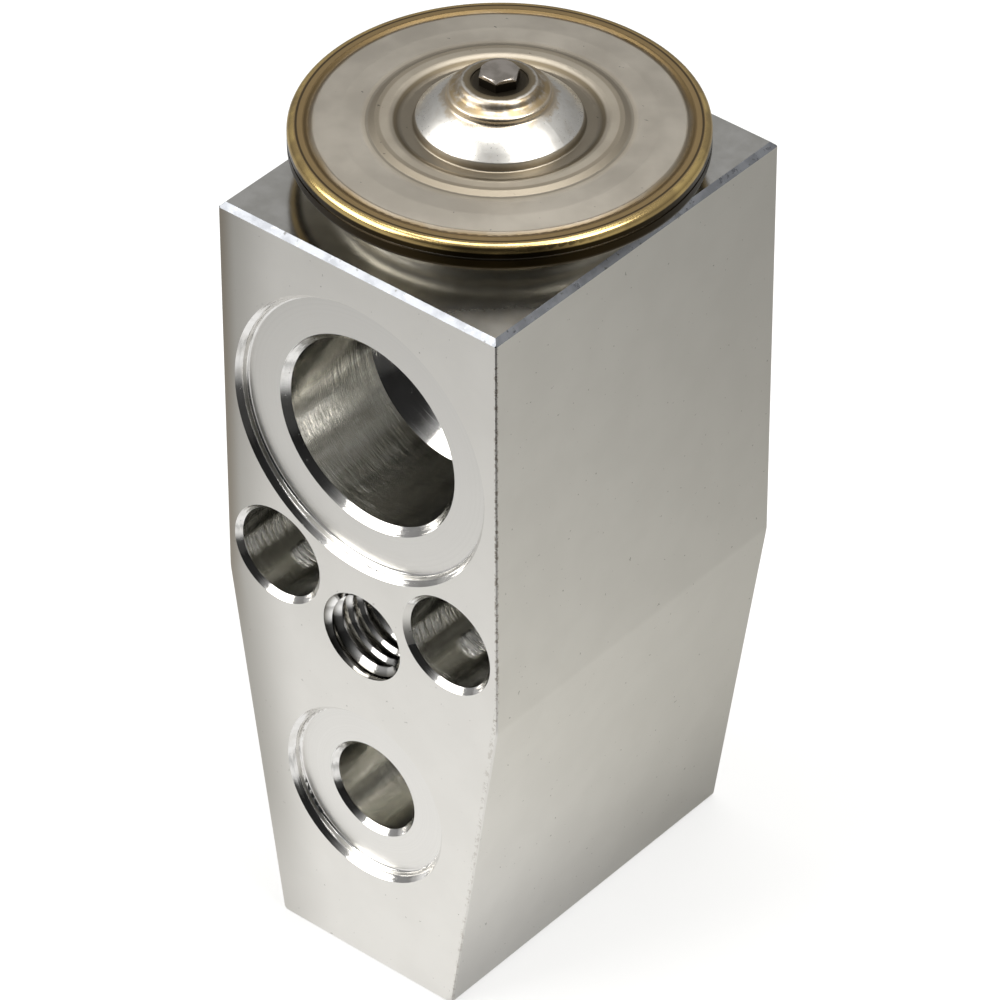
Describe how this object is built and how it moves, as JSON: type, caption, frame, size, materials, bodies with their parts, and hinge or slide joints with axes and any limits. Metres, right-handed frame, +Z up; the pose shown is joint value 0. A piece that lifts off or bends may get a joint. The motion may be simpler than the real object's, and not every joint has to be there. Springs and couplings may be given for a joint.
{
  "type": "thermostatic expansion valve",
  "caption": "Block-type thermostatic expansion valve: tapered aluminium block with suction and liquid ports, a round stainless power head on top and an adjuster in the foot.",
  "frame": {"origin": "centre of the block's foot face", "axes": "+Z up through the power head, -Y out of the pipe face, +X to the right when the pipe face is seen from the front"},
  "size_m": [0.0328, 0.034, 0.0794],
  "materials": {
    "aluminium": "machined, very fine satin",
    "rod_aluminium": "turned",
    "stainless": "pressed sheet, heat-tinted at the weld",
    "plug_steel": "plain",
    "spring_steel": "bright",
    "brass": "turned",
    "seal_rubber": "smooth"
  },
  "bodies": {
    "valve": {"valve_body": "aluminium", "head_lower_cover": "stainless", "head_upper_cover": "stainless", "head_diaphragm": "stainless", "charge_plug": "plug_steel", "head_seal_ring": "seal_rubber", "rod_seal": "seal_rubber", "rod_seal_retainer": "spring_steel", "rod_damper": "spring_steel", "seat_bush": "brass", "superheat_spring": "spring_steel"},
    "moving_train": {"diaphragm_pad": "stainless", "sensing_rod": "rod_aluminium", "push_rod": "spring_steel", "valve_ball": "spring_steel", "ball_carrier": "stainless"},
    "adjuster_ring": {"adjuster_seal": "seal_rubber"},
    "adjuster": {"adjuster_screw": "brass"}
  },
  "joints": [
    {"name": "valve_lift", "type": "slide", "parent": "valve", "child": "moving_train", "axis": [0, 0, -1], "range_m": [0, 0.0006], "stiffness_N_per_m": 8000, "springref_m": -0.0005, "deforming": ["superheat_spring", "head_diaphragm"]},
    {"name": "adjuster_travel", "type": "slide", "parent": "valve", "child": "adjuster_ring", "axis": [0, 0, 1], "range_m": [-0.0009, 0.0009], "deforming": ["superheat_spring"]},
    {"name": "adjuster_turn", "type": "hinge", "parent": "adjuster_ring", "child": "adjuster", "pos_m": [0, 0, 0.00095], "axis": [0, 0, 1], "range_deg": [-325, 325], "deforming": ["superheat_spring"]}
  ],
  "couplings": [
    {"joint": "adjuster_turn", "follows": "adjuster_travel", "rad_per_m": 6283.2}
  ]
}
